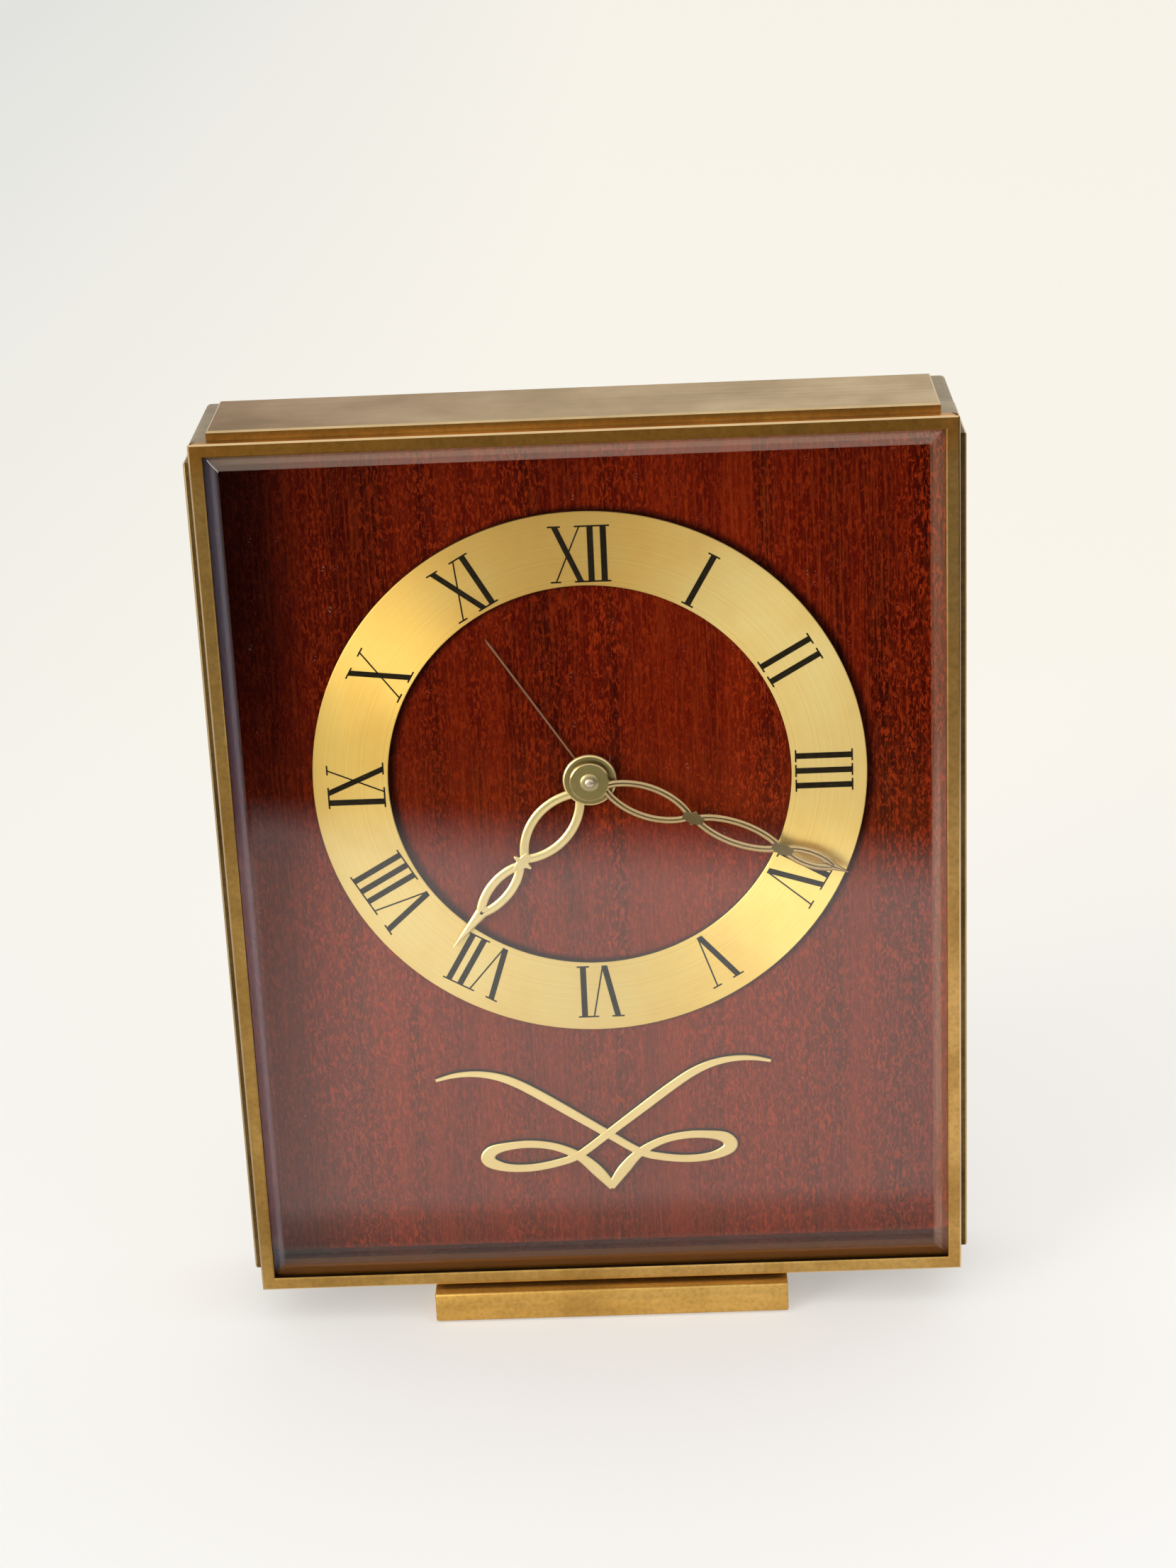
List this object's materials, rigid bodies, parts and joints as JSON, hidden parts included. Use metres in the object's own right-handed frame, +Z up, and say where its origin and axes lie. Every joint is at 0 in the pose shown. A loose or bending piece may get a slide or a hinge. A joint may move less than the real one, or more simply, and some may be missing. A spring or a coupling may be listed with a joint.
{
  "type": "desk clock",
  "caption": "Slim brass desk alarm clock on a low foot: bevelled glass, mahogany dial, Roman chapter ring, scroll ornament, pierced hands and folding keys at the back.",
  "frame": {"origin": "middle of the resting face under the foot felt", "axes": "+Z up, +X to the right as the dial is read, +Y towards the back, so the dial faces -Y"},
  "size_m": [0.1224, 0.042, 0.1579],
  "materials": {
    "brass": "aged and warm, lightly brushed, browner in the hollows",
    "gilt": "satin gold, brighter than the case",
    "steel": "satin",
    "spring_steel": "blued",
    "mahogany": "polished red-brown mahogany veneer with upright grain",
    "glass": "clear, with a ground and polished bevel",
    "felt": "green felt"
  },
  "bodies": {
    "case": {"front_bezel": "brass", "front_glass": "glass", "glass_spacer": "brass", "case_band": "brass", "top_panel": "brass", "left_side_panel": "brass", "right_side_panel": "brass", "foot_riser": "brass", "foot_plate": "brass", "foot_felt": "felt", "foot_screw_left": "steel", "foot_screw_right": "steel", "foot_nut_bar": "steel", "back_cover": "brass", "back_cover_screw_1": "steel", "back_cover_screw_2": "steel", "back_cover_screw_3": "steel", "back_cover_screw_4": "steel", "dial_board": "mahogany", "chapter_ring": "gilt", "scroll_ornament": "gilt", "movement_front_plate": "brass", "movement_back_plate": "brass", "movement_pillar_1": "brass", "movement_pillar_2": "brass", "movement_pillar_3": "brass", "movement_pillar_4": "brass", "sounding_post": "steel", "hairspring": "spring_steel"},
    "minute_works": {"minute_hand": "gilt", "cannon_pinion": "brass"},
    "hour_works": {"hour_hand": "gilt", "hour_wheel": "brass"},
    "alarm_works": {"alarm_hand": "gilt", "alarm_wheel": "brass"},
    "motion_wheel": {"motion_wheel": "brass"},
    "hand_setting": {"hand_set_knob": "brass"},
    "alarm_setting": {"alarm_set_knob": "brass"},
    "centre_works": {"centre_arbor": "brass"},
    "third_wheel": {"third_wheel": "brass"},
    "fourth_wheel": {"fourth_wheel": "brass"},
    "escape_wheel": {"escape_wheel": "steel"},
    "pallet_lever": {"pallet_lever": "steel"},
    "balance_wheel": {"balance_wheel": "gilt"},
    "regulator": {"regulator_lever": "steel"},
    "going_barrel": {"going_barrel": "brass", "going_mainspring": "spring_steel"},
    "time_winding": {"going_barrel_arbor": "steel", "time_key_hub": "brass"},
    "time_key_bow": {"time_key_bow": "brass"},
    "going_click": {"going_click": "steel"},
    "alarm_barrel": {"alarm_barrel": "brass", "alarm_mainspring": "spring_steel"},
    "alarm_winding": {"alarm_barrel_arbor": "steel", "alarm_key_hub": "brass"},
    "alarm_key_bow": {"alarm_key_bow": "brass"},
    "alarm_click": {"alarm_click": "steel"},
    "alarm_star_wheel": {"alarm_star_wheel": "steel"},
    "alarm_hammer": {"alarm_hammer": "steel"},
    "alarm_stop": {"alarm_stop_button": "brass"}
  },
  "joints": [
    {"name": "minute_turn", "type": "hinge", "parent": "case", "child": "minute_works", "pos_m": [0, 0, 0.0951], "axis": [0, 1, 0], "continuous": true},
    {"name": "hour_turn", "type": "hinge", "parent": "case", "child": "hour_works", "pos_m": [0, 0, 0.0951], "axis": [0, 1, 0], "continuous": true},
    {"name": "motion_turn", "type": "hinge", "parent": "case", "child": "motion_wheel", "pos_m": [-0.00172, 0, 0.10485], "axis": [0, 1, 0], "continuous": true},
    {"name": "hand_set_turn", "type": "hinge", "parent": "case", "child": "hand_setting", "pos_m": [-0.01152, 0, 0.10623], "axis": [0, 1, 0], "continuous": true},
    {"name": "alarm_set_turn", "type": "hinge", "parent": "case", "child": "alarm_setting", "pos_m": [-0.01404, 0, 0.09461], "axis": [0, 1, 0], "continuous": true},
    {"name": "alarm_hand_turn", "type": "hinge", "parent": "case", "child": "alarm_works", "pos_m": [0, 0, 0.0951], "axis": [0, 1, 0], "continuous": true},
    {"name": "fourth_turn", "type": "hinge", "parent": "case", "child": "fourth_wheel", "pos_m": [-0.00329, 0, 0.10981], "axis": [0, 1, 0], "continuous": true},
    {"name": "escape_turn", "type": "hinge", "parent": "case", "child": "escape_wheel", "pos_m": [-0.00764, 0, 0.11735], "axis": [0, 1, 0], "continuous": true},
    {"name": "third_turn", "type": "hinge", "parent": "case", "child": "third_wheel", "pos_m": [0.00521, 0, 0.1049], "axis": [0, 1, 0], "continuous": true},
    {"name": "centre_turn", "type": "hinge", "parent": "case", "child": "centre_works", "pos_m": [0, 0, 0.0951], "axis": [0, 1, 0], "continuous": true},
    {"name": "going_barrel_turn", "type": "hinge", "parent": "case", "child": "going_barrel", "pos_m": [0.01266, 0, 0.08244], "axis": [0, 1, 0], "continuous": true},
    {"name": "pallet_rock", "type": "hinge", "parent": "case", "child": "pallet_lever", "pos_m": [-0.00164, 0, 0.11868], "axis": [0, 1, 0], "range_deg": [-10, 10]},
    {"name": "balance_swing", "type": "hinge", "parent": "case", "child": "balance_wheel", "pos_m": [0.00724, 0, 0.12065], "axis": [0, 1, 0], "range_deg": [-220, 220]},
    {"name": "regulator_swing", "type": "hinge", "parent": "case", "child": "regulator", "pos_m": [0.00724, 0, 0.12065], "axis": [0, 1, 0], "range_deg": [-12, 12]},
    {"name": "time_winding_turn", "type": "hinge", "parent": "case", "child": "time_winding", "pos_m": [0.01266, 0, 0.08244], "axis": [0, 1, 0], "continuous": true},
    {"name": "time_bow_fold", "type": "hinge", "parent": "time_winding", "child": "time_key_bow", "pos_m": [0.01266, 0.0113, 0.08244], "axis": [1, 0, 0], "range_deg": [0, 90]},
    {"name": "going_click_swing", "type": "hinge", "parent": "case", "child": "going_click", "pos_m": [0.01716, 0, 0.07465], "axis": [0, -1, 0], "range_deg": [0, 15]},
    {"name": "alarm_barrel_turn", "type": "hinge", "parent": "case", "child": "alarm_barrel", "pos_m": [-0.0175, 0, 0.0756], "axis": [0, 1, 0], "continuous": true},
    {"name": "alarm_star_turn", "type": "hinge", "parent": "case", "child": "alarm_star_wheel", "pos_m": [-0.0076, 0, 0.0657], "axis": [0, 1, 0], "continuous": true},
    {"name": "hammer_swing", "type": "hinge", "parent": "case", "child": "alarm_hammer", "pos_m": [0, 0, 0.0656], "axis": [0, 1, 0], "range_deg": [0, 8]},
    {"name": "alarm_winding_turn", "type": "hinge", "parent": "case", "child": "alarm_winding", "pos_m": [-0.0175, 0, 0.0756], "axis": [0, 1, 0], "continuous": true},
    {"name": "alarm_bow_fold", "type": "hinge", "parent": "alarm_winding", "child": "alarm_key_bow", "pos_m": [-0.0175, 0.0113, 0.0756], "axis": [1, 0, 0], "range_deg": [0, 90]},
    {"name": "alarm_click_swing", "type": "hinge", "parent": "case", "child": "alarm_click", "pos_m": [-0.01889, 0, 0.06772], "axis": [0, -1, 0], "range_deg": [0, 15]},
    {"name": "alarm_stop_push", "type": "slide", "parent": "case", "child": "alarm_stop", "axis": [0, -1, 0], "range_m": [0, 0.0028]}
  ],
  "couplings": [
    {"joint": "hour_turn", "follows": "minute_turn", "ratio": 0.083333},
    {"joint": "motion_turn", "follows": "minute_turn", "ratio": -0.33333},
    {"joint": "hand_set_turn", "follows": "minute_turn", "ratio": 1},
    {"joint": "alarm_hand_turn", "follows": "alarm_set_turn", "ratio": -0.25},
    {"joint": "escape_turn", "follows": "fourth_turn", "ratio": -10},
    {"joint": "third_turn", "follows": "fourth_turn", "ratio": -0.13333},
    {"joint": "centre_turn", "follows": "fourth_turn", "ratio": 0.016667},
    {"joint": "going_barrel_turn", "follows": "fourth_turn", "ratio": -0.0016667},
    {"joint": "alarm_star_turn", "follows": "alarm_barrel_turn", "ratio": -8}
  ]
}
